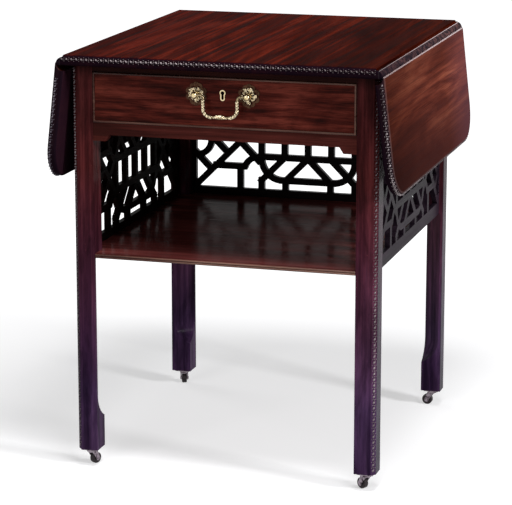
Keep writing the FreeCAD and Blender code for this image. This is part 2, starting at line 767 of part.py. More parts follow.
# Legs, rails and shelf
for name in caster_turn:
    save("leg_" + name, leg(1 if name.endswith("right") else -1, 1 if name.startswith("back") else -1))
save("side_rail_right", side_rail())
save("side_rail_left", mirrored_x(side_rail()))
save("back_rail", box(-inner_w, inner_w, rail_outer_y - back_rail_thickness, rail_outer_y,
                      drawer_rail_underside, frame_top))
save("drawer_rail", box(-inner_w, inner_w, front_y, front_y + drawer_rail_depth,
                        drawer_rail_underside, drawer_rail_top))
save("corner_brackets", pair_x(corner_bracket()))
save("top_rail", top_rail())
save("shelf", shelf())
runner_x = rail_inner_x - runner_width
runner_y = max(front_y + drawer_rail_depth, -inner_d)
save("drawer_runners", pair_x(box(runner_x, rail_inner_x, runner_y, inner_d,
                                  drawer_rail_top - runner_height, drawer_rail_top)))
kicker_y = max(front_y + top_rail_depth, -inner_d)
save("drawer_kickers", pair_x(box(runner_x, rail_inner_x, kicker_y, inner_d,
                                  frame_top - kicker_height, frame_top)))
save("drawer_stops", pair_x(box(stop_offset, stop_offset + stop_length, front_back_y,
                                front_back_y + stop_width, drawer_rail_top,
                                drawer_rail_top + stop_thickness)))

# Fretwork on three sides
fret_middle = drawer_rail_underside - fret_top_border - fret_half_height
fret_below = fret_half_height + fret_bottom_border
fret_above = fret_half_height + fret_top_border
side_fret = fret(2 * inner_d, fret_below, fret_above)
up = V(0, 0, 1)
save("fret_right", stand(side_fret, V(rail_outer_x - fret_thickness, 0, fret_middle), V(0, 1, 0), up))
save("fret_left", stand(side_fret, V(-rail_outer_x, 0, fret_middle), V(0, 1, 0), up))
back_fret = fret(2 * inner_w, fret_below, fret_above)
save("fret_back", stand(back_fret, V(0, rail_outer_y, fret_middle), V(1, 0, 0), up))

# Top, leaves and hinges
save("top_board", top_board())
right_leaf = let_down(level_leaf())
save("leaf_right", right_leaf)
save("leaf_left", mirrored_x(right_leaf))
top_plates = Part.makeCompound([hinge_half(y0, y1, -1) for y0, y1 in hinge_spans()])
save("hinge_plates_top", pair_x(top_plates))
leaf_plates = let_down(Part.makeCompound([hinge_half(y0, y1, 1) for y0, y1 in hinge_spans()]))
save("hinge_plates_right_leaf", leaf_plates)
save("hinge_plates_left_leaf", mirrored_x(leaf_plates))
save("hinge_pins", pair_x(Part.makeCompound([hinge_pin(y0, y1) for y0, y1 in hinge_spans()])))

# Fly brackets
save("fly_blocks", pair_x(fly_block()))
save("fly_pins", pair_x(fly_pin()))
save("fly_arm_right", fly_arm())
save("fly_arm_left", mirrored_x(fly_arm()))

# Drawer, lock and handle
save("drawer_front", drawer_front())
save("cock_bead", cock_bead())
save("drawer_side_right", drawer_side())
save("drawer_side_left", mirrored_x(drawer_side()))
save("drawer_back", drawer_back())
save("drawer_bottom", drawer_bottom_board())
save("lock_case", lock_case())
save("lock_bolt", bolt_box(0, front_head - bolt_play))
save("escutcheon", escutcheon())
save("handle_plate_left", backplate(-1))
save("handle_plate_right", backplate(1))
save("handle_posts", Part.makeCompound([handle_post(-1), handle_post(1)]))
save("handle_nuts", Part.makeCompound([handle_nut(-1), handle_nut(1)]))
save("handle_bail", bail())

# Castors
save("caster_plates", Part.makeCompound([at_foot(caster_plate(), name, False) for name in caster_turn]))
for name in caster_turn:
    save("caster_fork_" + name, at_foot(caster_fork(), name, True))
    save("caster_axle_" + name, at_foot(caster_axle(), name, True))
    save("caster_wheel_" + name, at_foot(caster_wheel(), name, True))
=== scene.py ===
import json
import math
import random
import bpy
from mathutils import Matrix, Vector


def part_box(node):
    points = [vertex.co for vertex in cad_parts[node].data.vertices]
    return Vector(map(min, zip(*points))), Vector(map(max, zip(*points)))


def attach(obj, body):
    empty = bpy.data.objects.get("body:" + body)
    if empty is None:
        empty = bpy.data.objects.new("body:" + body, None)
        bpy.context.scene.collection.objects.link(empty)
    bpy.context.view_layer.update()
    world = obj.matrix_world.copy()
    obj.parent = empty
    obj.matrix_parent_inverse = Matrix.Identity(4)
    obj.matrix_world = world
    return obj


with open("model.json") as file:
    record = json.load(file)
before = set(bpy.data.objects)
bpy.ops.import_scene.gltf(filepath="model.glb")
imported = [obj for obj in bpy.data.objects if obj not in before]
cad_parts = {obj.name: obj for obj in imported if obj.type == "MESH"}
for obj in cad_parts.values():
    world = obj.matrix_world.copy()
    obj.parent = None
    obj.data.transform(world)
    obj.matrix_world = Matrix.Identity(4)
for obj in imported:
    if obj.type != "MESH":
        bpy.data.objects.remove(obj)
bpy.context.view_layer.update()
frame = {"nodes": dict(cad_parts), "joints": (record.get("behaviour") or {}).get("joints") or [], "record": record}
nodes = frame["nodes"]
joints = {j["name"]: j for j in frame["joints"]}
random.seed(7)

# Sizes of the table that the carving and the finishes follow, in metres
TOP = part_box("top_board")[1].z
TOP_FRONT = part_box("top_board")[0].y
TOP_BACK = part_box("top_board")[1].y
TOP_THICKNESS = 0.017
HINGE = Vector(joints["leaf_right_hinge"]["pos_m"])
LEAF_FALL = joints["leaf_right_hinge"]["range_deg"][1]
LEAF_WIDTH = 0.198
LEAF_CORNER = 0.060
LEG_CHAMFER = 0.0075
LEG_FOOT = 0.030
LEG_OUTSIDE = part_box("leg_front_right")[1].x
FRAME_HEAD = TOP - TOP_THICKNESS
HANDLE = Vector(joints["bail_swing"]["pos_m"])
HANDLE_POST = 0.0445
PLATE_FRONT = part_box("handle_plate_left")[0].y


# Working by hand: one piece picked at a time
def pick(piece):
    bpy.ops.object.select_all(action="DESELECT")
    piece.select_set(True)
    bpy.context.view_layer.objects.active = piece


def settle(piece):
    pick(piece)
    bpy.ops.object.transform_apply(location=True, rotation=True, scale=True)


def join(pieces):
    bpy.ops.object.select_all(action="DESELECT")
    for piece in pieces:
        piece.select_set(True)
    bpy.context.view_layer.objects.active = pieces[0]
    bpy.ops.object.join()
    return pieces[0]


def copy_of(piece):
    twin = piece.copy()
    twin.data = piece.data.copy()
    bpy.context.scene.collection.objects.link(twin)
    return twin


def moved(piece, matrix):
    piece.matrix_world = matrix
    settle(piece)
    return piece


def shift(x, y, z):
    return Matrix.Translation((x, y, z))


def turned(degrees, axis):
    return Matrix.Rotation(math.radians(degrees), 4, axis)


def unselect_mesh():
    bpy.ops.object.mode_set(mode="EDIT")
    bpy.ops.mesh.select_all(action="DESELECT")
    bpy.ops.object.mode_set(mode="OBJECT")


def edit_points(piece, chosen):
    for vertex in piece.data.vertices:
        vertex.select = chosen(vertex.co)
    bpy.ops.object.mode_set(mode="EDIT")


MERGE = 0.00001


def dress(piece, name, finish, body, angle=40):
    settle(piece)
    piece.name = name
    piece.data.name = name
    piece.data.materials.clear()
    piece.data.materials.append(finish)
    bpy.ops.object.mode_set(mode="EDIT")
    bpy.ops.mesh.select_all(action="SELECT")
    bpy.ops.mesh.remove_doubles(threshold=MERGE)
    bpy.ops.mesh.normals_make_consistent(inside=False)
    bpy.ops.object.mode_set(mode="OBJECT")
    bpy.ops.object.shade_smooth_by_angle(angle=math.radians(angle))
    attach(piece, body)
    return piece


# How far the grain of a board draws its pattern out, by direction
GRAIN = {"x": (1.0, 12.0, 12.0), "x_short": (2.6, 12.0, 12.0),
         "y": (12.0, 1.0, 12.0), "z": (12.0, 12.0, 1.0)}


# Node wiring for the finishes
class Finish:
    def __init__(self, name):
        self.material = bpy.data.materials.new(name)
        self.material.use_nodes = True
        self.tree = self.material.node_tree
        self.shader = self.tree.nodes["Principled BSDF"]
        self.spot = self.add("ShaderNodeTexCoord").outputs["Object"]

    def add(self, kind, **settings):
        node = self.tree.nodes.new(kind)
        for key, value in settings.items():
            setattr(node, key, value)
        return node

    def link(self, source, target):
        self.tree.links.new(source, target)

    def feed(self, socket, value):
        if isinstance(value, (int, float)):
            socket.default_value = value
        elif isinstance(value, tuple):
            socket.default_value = (*value, 1)
        else:
            self.link(value, socket)

    def place(self):
        axes = self.add("ShaderNodeSeparateXYZ")
        self.link(self.spot, axes.inputs["Vector"])
        return axes.outputs

    def reach_along(self, way):
        reach = self.add("ShaderNodeVectorMath", operation="DOT_PRODUCT")
        self.link(self.spot, reach.inputs[0])
        reach.inputs[1].default_value = way
        return reach.outputs["Value"]

    def stretched(self, scale):
        mapping = self.add("ShaderNodeMapping")
        mapping.inputs["Scale"].default_value = scale
        self.link(self.spot, mapping.inputs["Vector"])
        return mapping.outputs["Vector"]

    def noise(self, vector, scale, detail, roughness, swirl):
        noise = self.add("ShaderNodeTexNoise")
        noise.inputs["Scale"].default_value = scale
        noise.inputs["Detail"].default_value = detail
        noise.inputs["Roughness"].default_value = roughness
        noise.inputs["Distortion"].default_value = swirl
        self.link(vector, noise.inputs["Vector"])
        return noise.outputs["Fac"]

    def drawn_out(self, grain, pattern, swirl):
        size, draw, detail, roughness = pattern
        vector = self.stretched(tuple(size * s ** draw for s in GRAIN[grain]))
        return self.noise(vector, 1.0, detail, roughness, swirl)

    def maths(self, operation, a, b=0.0):
        node = self.add("ShaderNodeMath", operation=operation)
        self.feed(node.inputs[0], a)
        self.feed(node.inputs[1], b)
        return node.outputs["Value"]

    def ramp(self, fac, places, colours):
        node = self.add("ShaderNodeValToRGB")
        stops = node.color_ramp.elements
        while len(stops) < len(colours):
            stops.new(0.5)
        for stop, place, colour in zip(stops, places, colours):
            stop.position = place
            stop.color = (*colour, 1)
        self.link(fac, node.inputs["Fac"])
        return node.outputs["Color"]

    def mixed(self, fac, a, b, blend="MIX"):
        node = self.add("ShaderNodeMix", data_type="RGBA", blend_type=blend)
        sockets = [s for s in node.inputs if s.enabled]
        for socket, value in zip(sockets, (fac, a, b)):
            self.feed(socket, value)
        return [s for s in node.outputs if s.enabled][0]

    def span(self, value, low, high, out_low, out_high):
        node = self.add("ShaderNodeMapRange")
        self.link(value, node.inputs["Value"])
        node.inputs["From Min"].default_value = low
        node.inputs["From Max"].default_value = high
        node.inputs["To Min"].default_value = out_low
        node.inputs["To Max"].default_value = out_high
        return node.outputs["Result"]

    def bump(self, height, strength, distance):
        node = self.add("ShaderNodeBump")
        node.inputs["Strength"].default_value = strength
        node.inputs["Distance"].default_value = distance
        self.link(height, node.inputs["Height"])
        self.link(node.outputs["Normal"], self.shader.inputs["Normal"])

    def colour(self, colour, roughness):
        self.link(colour, self.shader.inputs["Base Color"])
        self.link(roughness, self.shader.inputs["Roughness"])

    def set(self, **values):
        for key, value in values.items():
            self.shader.inputs[key.replace("_", " ")].default_value = value


# Wood patterns: size per metre, how strongly the grain draws them out, detail, roughness
FIGURE = (2.2, 0.72, 5, 0.55)
STREAKS = (1.6, 1.7, 4, 0.55)
PORES = (9.0, 1.75, 2, 0.5)
FIGURE_SWIRL, STREAK_SWIRL = 1.4, 0.3
# Patterns that lie as they fall: size per metre, detail, roughness, swirl
NICKS = (240.0, 2, 0.5, 0.0)
MOTTLE = (130.0, 3, 0.6, 0.2)
BLOTCHES = (1.0, 5, 0.66, 0.4)
BLOTCH_STRETCH = (52.0, 52.0, 9.0)
# Levels of a pattern between which its effect comes and goes
TONE_STOPS = (0.4, 0.5, 0.61)
PIT_LEVELS = (0.36, 0.46)
PORE_LEVELS = (0.34, 0.5)
NICK_LEVELS = (0.74, 0.8)
MOTTLE_LEVELS = (0.45, 0.62)
BLOTCH_LEVELS = (0.4, 0.62)
MIDDLING = (0.3, 0.7)
PORE_STAIN, PORE_DARK = 0.45, 0.35
NICK_SHARE, NICK_LIGHT = 0.55, 1.6
POLISH_CLOSE, POLISH_OPEN = 0.06, 0.09
PIT_BUMP, PIT_DEPTH = 0.12, 0.0004
COAT_ROUGHNESS, COAT_IOR = 0.12, 1.15


def mahogany(name, grain, tones, polish=0.3, specular=0.1, coat=0.0, figure=1.0, streaky=0.4,
             shade=None):
    # Long soft figure, finer streaks, short dark pores and tiny pale nicks
    wood = Finish(name)
    broad = wood.drawn_out(grain, FIGURE, FIGURE_SWIRL * figure)
    streak = wood.drawn_out(grain, STREAKS, STREAK_SWIRL)
    wood.tone = wood.maths("ADD", wood.maths("MULTIPLY", broad, 1.0 - streaky),
                           wood.maths("MULTIPLY", streak, streaky))
    colour = wood.ramp(wood.tone, TONE_STOPS, tones)
    dark, middle, light = tones
    pores = wood.drawn_out(grain, PORES, 0.0)
    stain = wood.span(pores, *PORE_LEVELS, PORE_STAIN, 0.0)
    colour = wood.mixed(stain, colour, tuple(PORE_DARK * c for c in dark))
    nicks = wood.span(wood.noise(wood.spot, *NICKS), *NICK_LEVELS, 0.0, NICK_SHARE)
    colour = wood.mixed(nicks, colour, tuple(NICK_LIGHT * c for c in light))
    if shade:
        colour = shade(wood, colour)
    wood.colour(colour, wood.span(streak, *MIDDLING, polish - POLISH_CLOSE, polish + POLISH_OPEN))
    wood.bump(wood.span(pores, *PIT_LEVELS, 0.0, 1.0), PIT_BUMP, PIT_DEPTH)
    wood.set(Specular_IOR_Level=specular, Coat_Weight=coat, Coat_Roughness=COAT_ROUGHNESS,
             Coat_IOR=COAT_IOR)
    return wood.material


# Tones laid over the wood: painted highlights, sheen, shade and shadow, and random worn blotches
# Painted highlight on a leaf, just inside its rounded rim
RIM_HIGHLIGHT = (0.3, 0.2, 0.2)
# Painted highlight along the arrises of the rule joint
ARRIS_HIGHLIGHT = (0.62, 0.52, 0.53)
# Painted shade for the rule joint's round, the edges under the carving and the leaf rims, with brown patches on
# the round
JOINT_BROWN = (0.12, 0.052, 0.05)
HOLLOW_SHADE = (0.0075, 0.0038, 0.0075)
# Painted shadow of the top's overhang on the legs' heads
SHADOW_UNDER_TOP = (0.012, 0.0035, 0.003)
# Painted grey sheen on the legs' outer sides
SIDE_SHEEN = ((0.018, 0.0125, 0.021), (0.06, 0.046, 0.068))
# Painted shade on the leaves' undersides
UNDERSIDE_SHADE = (0.017, 0.0062, 0.012)
# Painted floor sheen on the legs: purplish and darker towards the floor
FLOOR_SHEEN = ((0.022, 0.0095, 0.034), (0.045, 0.021, 0.063), (0.079, 0.039, 0.104))
BLOTCH_DARK, BLOTCH_LIGHT = (0.54, 0.6, 0.58), (1.24, 1.34, 1.3)
# Painted shade: the top darker to the right and to the left
TOP_RIGHT_SHADE, TOP_LEFT_SHADE = (0.5, 0.55, 0.5), (0.72, 0.74, 1.0)
# Painted light and shade on the leaves: darker at the front, lighter at the back
LEAF_FRONT_SHADE, LEAF_BACK_LIGHT = (0.42, 0.35, 0.34), (1.65, 1.75, 1.95)
# Painted shade towards a leaf's free edge
LEAF_LOW_SHADE = (0.031, 0.0069, 0.0053)
# Painted purplish sheen on a leaf's back end
LEAF_BACK_SHEEN = (0.085, 0.034, 0.044)
# Painted shade near a leaf's hinge
LEAF_HEAD_SHADE = (0.05, 0.011, 0.006)

# Where these tones come in, in metres: across the top, and front to back
TOP_RIGHT_SIDE = (0.0, 0.24)
TOP_LEFT_SIDE = (-0.25, -0.08)
FRONT_TO_BACK = (-0.3, 0.28)
# Beyond the hinge line, and short of the top's back edge
ARRIS_LINE = (0.0043, 0.0049)
JOINT_ROUND = (0.0053, 0.0058)
TOP_EDGE = (0.0058, 0.003)
# On a leaf: front to back, down from the hinge, up from its underside, in from its rim
LEAF_TINTED = (-0.30, 0.22)
LEAF_BACK_END = (0.12, 0.30)
LEAF_LOW_PART = (0.3 * LEAF_WIDTH, 0.85 * LEAF_WIDTH)
LEAF_HEAD = (0.0, 0.32 * LEAF_WIDTH)
LEAF_ARRIS = (0.0012, 0.0021)
LEAF_BENEATH = (-0.0022, 0.003)
LEAF_UPPER = (0.002, 0.008)
LEAF_RIM_HIGHLIGHT = (0.0041, 0.0054)
LEAF_RIM = (0.0014, 0.0030)
# On a leg: up from the floor, short of its outer side, and down from the top
LEG_FLOOR_SHEEN = (0.14, 0.52)
LEG_SIDE = (0.0012, 0.0004)
# The painted shadow under the top reaches this far down
LEG_SHADOWED_HEAD = (0.046, 0.022)


def top_shade(wood, colour):
    # Painted shade darker to both sides, a painted highlight on the arris along the rule joint, mottled painted
    # shade on the round, painted shade along the front and back
    place = wood.place()
    # Painted shade darkening both sides of the top
    right = wood.span(place["X"], *TOP_RIGHT_SIDE, 0.0, 1.0)
    colour = wood.mixed(right, colour, TOP_RIGHT_SHADE, "MULTIPLY")
    left = wood.span(place["X"], *TOP_LEFT_SIDE, 1.0, 0.0)
    colour = wood.mixed(left, colour, TOP_LEFT_SHADE, "MULTIPLY")
    across = wood.maths("ABSOLUTE", place["X"])
    backward = wood.span(place["Y"], *FRONT_TO_BACK, 0.3, 1.0)
    # Painted highlight along the rule joint's arris, stronger towards the back
    line = wood.span(across, *[HINGE.x + d for d in ARRIS_LINE], 0.0, 0.92)
    colour = wood.mixed(wood.maths("MULTIPLY", line, backward), colour, ARRIS_HIGHLIGHT)
    # Painted shade on the rule joint's round, mottled with brown towards the back
    mottle = wood.span(wood.noise(wood.spot, *MOTTLE), *MOTTLE_LEVELS, 0.0, 0.9)
    shaded_round = wood.mixed(wood.maths("MULTIPLY", mottle, backward), HOLLOW_SHADE, JOINT_BROWN)
    rounded = wood.span(across, *[HINGE.x + d for d in JOINT_ROUND], 0.0, 0.97)
    colour = wood.mixed(rounded, colour, shaded_round)
    # Painted shade along the front and back edges, under the carving
    away = wood.maths("ABSOLUTE", place["Y"])
    return wood.mixed(wood.span(away, *[TOP_BACK - d for d in TOP_EDGE], 0.0, 0.9), colour, HOLLOW_SHADE)


def leaf_shade(side):
    # Painted shade towards the free edge, front and hinge, painted light and sheen at the back, painted highlights
    # along the joint and inside the rim, painted shade beneath and on the rim, nearly black
    fall = math.radians(LEAF_FALL)
    face = Vector((side * math.sin(fall), 0, math.cos(fall)))
    down = Vector((side * math.cos(fall), 0, -math.sin(fall)))
    hinge = Vector((side * HINGE.x, 0, HINGE.z))

    def shade(wood, colour):
        depth = wood.place()["Y"]
        reach = wood.maths("SUBTRACT", wood.reach_along(down), hinge.dot(down))
        rise = wood.maths("SUBTRACT", wood.reach_along(face), hinge.dot(face))
        past = [wood.maths("MAXIMUM", wood.maths("SUBTRACT", value, size - LEAF_CORNER), 0.0)
                for value, size in ((wood.maths("ABSOLUTE", depth), TOP_BACK), (reach, LEAF_WIDTH))]
        squares = [wood.maths("MULTIPLY", value, value) for value in past]
        rim = wood.maths("SUBTRACT", LEAF_CORNER, wood.maths("SQRT", wood.maths("ADD", *squares)))
        # Painted shade towards the free edge
        colour = wood.mixed(wood.span(reach, *LEAF_LOW_PART, 0.0, 0.86), colour, LEAF_LOW_SHADE)
        # Painted purplish sheen on the back end
        colour = wood.mixed(wood.span(depth, *LEAF_BACK_END, 0.0, 0.35), colour, LEAF_BACK_SHEEN)
        # Painted light and shade: darker at the front, lighter at the back
        front_to_back_light = wood.mixed(wood.span(depth, *LEAF_TINTED, 0.0, 1.0), LEAF_FRONT_SHADE, LEAF_BACK_LIGHT)
        colour = wood.mixed(1.0, colour, front_to_back_light, "MULTIPLY")
        # Painted shade near the hinge
        colour = wood.mixed(wood.span(reach, *LEAF_HEAD, 0.35, 0.0), colour, LEAF_HEAD_SHADE)
        # Painted highlight along the leaf's arris at the joint, stronger towards the back
        backward = wood.span(depth, *FRONT_TO_BACK, 0.4, 1.0)
        line = wood.maths("MULTIPLY", wood.span(reach, *LEAF_ARRIS, 0.95, 0.0), backward)
        colour = wood.mixed(line, colour, ARRIS_HIGHLIGHT)
        # Painted shade on the underside
        colour = wood.mixed(wood.span(rise, *LEAF_BENEATH, 0.88, 0.0), colour, UNDERSIDE_SHADE)
        # Painted highlight: a pale band just inside the rim
        upper = wood.span(rise, *LEAF_UPPER, 0.0, 1.0)
        highlit_rim = wood.maths("MULTIPLY", upper, wood.span(rim, *LEAF_RIM_HIGHLIGHT, 0.14, 0.0))
        colour = wood.mixed(highlit_rim, colour, RIM_HIGHLIGHT)
        # Painted shade on the rim, nearly black
        return wood.mixed(wood.span(rim, *LEAF_RIM, 0.9, 0.0), colour, HOLLOW_SHADE)
    return shade


def leg_shade(wood, colour):
    # Painted floor sheen, purplish black towards the floor, painted grey sheen on the outer side, worn blotches,
    # painted shadow under the top
    place = wood.place()
    # Painted floor sheen: purplish black towards the floor
    floor_sheen = wood.ramp(wood.tone, TONE_STOPS, FLOOR_SHEEN)
    colour = wood.mixed(wood.span(place["Z"], *LEG_FLOOR_SHEEN, 0.92, 0.0), colour, floor_sheen)
    # Painted grey sheen on the outer side faces
    across = wood.maths("ABSOLUTE", place["X"])
    side_sheen = wood.ramp(wood.tone, (TONE_STOPS[0], TONE_STOPS[2]), SIDE_SHEEN)
    outside = wood.span(across, *[LEG_OUTSIDE - d for d in LEG_SIDE], 0.0, 0.75)
    colour = wood.mixed(outside, colour, side_sheen)
    blotch = wood.noise(wood.stretched(BLOTCH_STRETCH), *BLOTCHES)
    blotch = wood.span(blotch, *BLOTCH_LEVELS, 0.0, 1.0)
    colour = wood.mixed(1.0, colour, wood.mixed(blotch, BLOTCH_DARK, BLOTCH_LIGHT), "MULTIPLY")
    # Painted shadow under the top's overhang
    return wood.mixed(wood.span(place["Z"], *[TOP - d for d in LEG_SHADOWED_HEAD], 0.0, 0.75), colour, SHADOW_UNDER_TOP)


# Dark, middle and light tone of each wood
TOP_TONES = ((0.018, 0.0017, 0.0009), (0.051, 0.0046, 0.0019), (0.124, 0.014, 0.0062))
LEAF_TONES = ((0.056, 0.0105, 0.006), (0.116, 0.0248, 0.0134), (0.196, 0.053, 0.0275))
LEG_TONES = ((0.052, 0.0085, 0.0095), (0.106, 0.0188, 0.0198), (0.172, 0.033, 0.034))
DRAWER_TONES = ((0.02, 0.003, 0.002), (0.071, 0.0104, 0.0068), (0.165, 0.031, 0.0205))
RAIL_TONES = ((0.032, 0.006, 0.0045), (0.065, 0.0125, 0.0095), (0.105, 0.023, 0.018))
# Top rail darkened as painted shadow under the top's overhang
TOP_RAIL_SHADOW_TONES = ((0.01, 0.0026, 0.002), (0.019, 0.0045, 0.0036), (0.034, 0.0085, 0.0068))
SHELF_TONES = ((0.05, 0.0105, 0.0095), (0.09, 0.0195, 0.0178), (0.14, 0.033, 0.03))
# One fret wood in painted lit and shaded copies: back and left darkened as in shade, right lighter as lit
BACK_FRET_SHADED_TONES = ((0.0022, 0.0012, 0.0014), (0.0045, 0.002, 0.0024), (0.009, 0.0036, 0.0038))
RIGHT_FRET_LIT_TONES = ((0.0085, 0.005, 0.0085), (0.0165, 0.0102, 0.0165), (0.03, 0.0185, 0.028))
LEFT_FRET_SHADED_TONES = ((0.0024, 0.0012, 0.001), (0.0052, 0.0023, 0.0019), (0.011, 0.0042, 0.0034))
# Cock bead paler than the drawer front: partly wear, partly a painted highlight
BEAD_WORN_HIGHLIT_TONES = ((0.028, 0.008, 0.006), (0.072, 0.027, 0.019), (0.15, 0.076, 0.056))
# Shelf beads pale as a painted highlight on the lit edge
MOULDING_HIGHLIT_TONES = ((0.07, 0.026, 0.018), (0.18, 0.09, 0.064), (0.32, 0.19, 0.145))
# Pale grey carving tones: painted highlights on the carving, with worn high points
CARVED_HIGHLIT_TONES = ((0.06, 0.041, 0.045), (0.185, 0.148, 0.155), (0.4, 0.34, 0.35))
# Darker copy of the carving tones for the left leaf, as painted shade
CARVED_LEAF_SHADED_TONES = ((0.03, 0.021, 0.03), (0.085, 0.068, 0.088), (0.19, 0.16, 0.19))
CARVED_LEG_HIGHLIT_TONES = ((0.05, 0.034, 0.038), (0.14, 0.107, 0.117), (0.29, 0.24, 0.255))

top_wood = mahogany("polished_top", "y", TOP_TONES, polish=0.34, specular=0.00015, streaky=0.52,
                    figure=1.1, shade=top_shade)
leaf_wood_right, leaf_wood_left = [
    mahogany("polished_leaf_" + name, "y", LEAF_TONES, polish=0.36, specular=0.0004, streaky=0.35,
             figure=1.2, shade=leaf_shade(side))
    for name, side in (("right", 1), ("left", -1))]
leg_wood = mahogany("polished_leg", "z", LEG_TONES, polish=0.26, specular=0.006, coat=0.14,
                    figure=0.8, streaky=0.45, shade=leg_shade)
front_wood = mahogany("polished_drawer_front", "x_short", DRAWER_TONES, specular=0.03, streaky=0.6,
                      figure=1.2)
rail_wood_x = mahogany("polished_rail", "x", RAIL_TONES, specular=0.03)
rail_wood_y = mahogany("polished_side_rail", "y", RAIL_TONES, specular=0.03)
# The top rail's finish is a painted shadow of the top's overhang
shaded_rail_wood = mahogany("shadowed_top_rail", "x", TOP_RAIL_SHADOW_TONES, polish=0.36, specular=0.02)
shelf_wood = mahogany("polished_shelf", "x", SHELF_TONES, polish=0.13, specular=0.0025)
# Painted lit and shaded copies of one fret finish
fret_wood_back = mahogany("shaded_fret_back", "x", BACK_FRET_SHADED_TONES, specular=0.04, figure=0.5)
fret_wood_right = mahogany("lit_fret_right", "y", RIGHT_FRET_LIT_TONES, specular=0.006, figure=0.5)
fret_wood_left = mahogany("shaded_fret_left", "y", LEFT_FRET_SHADED_TONES, specular=0.002, figure=0.5)
# Cock bead finish: wear and a painted highlight
bead_wood = mahogany("worn_highlit_cock_bead", "x", BEAD_WORN_HIGHLIT_TONES, specular=0.12)
moulding_wood = mahogany("highlit_shelf_moulding", "x", MOULDING_HIGHLIT_TONES, specular=0.2)
# Carving finishes paler than the wood: painted highlight, with wear
carved_wood = mahogany("carved_mahogany", "x", CARVED_HIGHLIT_TONES, polish=0.24, specular=0.3, figure=0.4)
# Painted shaded copy of the carving finish, for the left leaf
shaded_carving_leaf_wood = mahogany("shaded_carving_left_leaf", "z", CARVED_LEAF_SHADED_TONES, polish=0.24, specular=0.15,
                            figure=0.4)
carved_leg_wood = mahogany("carved_leg_corner", "z", CARVED_LEG_HIGHLIT_TONES, polish=0.24, specular=0.2,
                           figure=0.4)

OAK_FIGURE = (3.0, 0.9, 4, 0.5)
OAK_FIBRES = (5.0, 1.6, 5, 0.6)
OAK_STOPS = (0.34, 0.5, 0.66)
OAK_TONES = ((0.13, 0.07, 0.032), (0.24, 0.14, 0.066), (0.34, 0.215, 0.11))


def oak(name, grain):
    # Plain and dull, for the parts inside
    wood = Finish(name)
    broad = wood.drawn_out(grain, OAK_FIGURE, 0.6)
    fine = wood.drawn_out(grain, OAK_FIBRES, 0.1)
    tone = wood.maths("ADD", wood.maths("MULTIPLY", broad, 0.5), wood.maths("MULTIPLY", fine, 0.5))
    wood.colour(wood.ramp(tone, OAK_STOPS, OAK_TONES), wood.span(fine, *MIDDLING, 0.55, 0.75))
    wood.bump(fine, 0.2, 0.0004)
    wood.set(Specular_IOR_Level=0.3)
    return wood.material


oak_x, oak_y = oak("plain_oak", "x"), oak("plain_oak_lengthwise", "y")

TARNISH = (5, 0.62, 0.3)
TARNISH_STOPS = (0.36, 0.54)
TARNISH_MIDDLING = (0.35, 0.65)


def old_metal(name, bright, dull, smooth, rough, size, recess=None):
    # Bright where it is rubbed, dull in patches and, with a recess, dull in the depths
    metal = Finish(name)
    patches = metal.noise(metal.spot, size, *TARNISH)
    colour = metal.ramp(patches, TARNISH_STOPS, (dull, bright))
    if recess:
        colour = metal.mixed(metal.span(metal.place()["Y"], *recess, 0.0, 0.92), colour, dull)
    metal.colour(colour, metal.span(patches, *TARNISH_MIDDLING, rough, smooth))
    metal.bump(patches, 0.1, 0.0003)
    metal.set(Metallic=1.0)
    return metal.material


ROSETTE_RECESS = (PLATE_FRONT - 0.0022, PLATE_FRONT - 0.0008)
BAIL_RECESS = (HANDLE.y - 0.0036, HANDLE.y - 0.0020)
gilt_brass = old_metal("antique_gilt_brass", (0.5, 0.4, 0.25), (0.05, 0.034, 0.017),
                       0.16, 0.42, 520.0)
rosette_brass = old_metal("gilt_brass_rosette", (0.8, 0.68, 0.46), (0.03, 0.021, 0.012),
                          0.16, 0.4, 820.0, recess=ROSETTE_RECESS)
bail_brass = old_metal("gilt_brass_leafage", (0.82, 0.69, 0.47), (0.04, 0.028, 0.016),
                       0.16, 0.4, 820.0, recess=BAIL_RECESS)
recess_brass = old_metal("brown_brass_ground", (0.055, 0.028, 0.016), (0.026, 0.0105, 0.007),
                         0.4, 0.65, 380.0)
stem_brass = old_metal("shaded_bail_brass", (0.26, 0.2, 0.115), (0.04, 0.028, 0.016),
                       0.22, 0.45, 520.0)
ball_brass = old_metal("rubbed_gilt_brass", (0.68, 0.56, 0.34), (0.36, 0.27, 0.13),
                       0.14, 0.26, 200.0)
dark_brass = old_metal("dark_castor_brass", (0.26, 0.22, 0.25), (0.03, 0.02, 0.028),
                       0.16, 0.42, 240.0)
lock_brass = old_metal("old_lock_brass", (0.42, 0.31, 0.14), (0.14, 0.09, 0.04),
                       0.3, 0.5, 160.0)
iron = old_metal("black_iron", (0.1, 0.09, 0.085), (0.03, 0.026, 0.024), 0.4, 0.6, 180.0)

HIDE_GRAIN = (900.0, 4, 0.6, 0.2)
HIDE_STOPS = (0.35, 0.65)
HIDE_TONES = ((0.008, 0.006, 0.008), (0.028, 0.02, 0.022))


def leather_roller():
    hide = Finish("dark_castor_leather")
    grainy = hide.noise(hide.spot, *HIDE_GRAIN)
    hide.colour(hide.ramp(grainy, HIDE_STOPS, HIDE_TONES), hide.span(grainy, *MIDDLING, 0.35, 0.55))
    hide.bump(grainy, 0.2, 0.0003)
    hide.set(Specular_IOR_Level=0.2)
    return hide.material


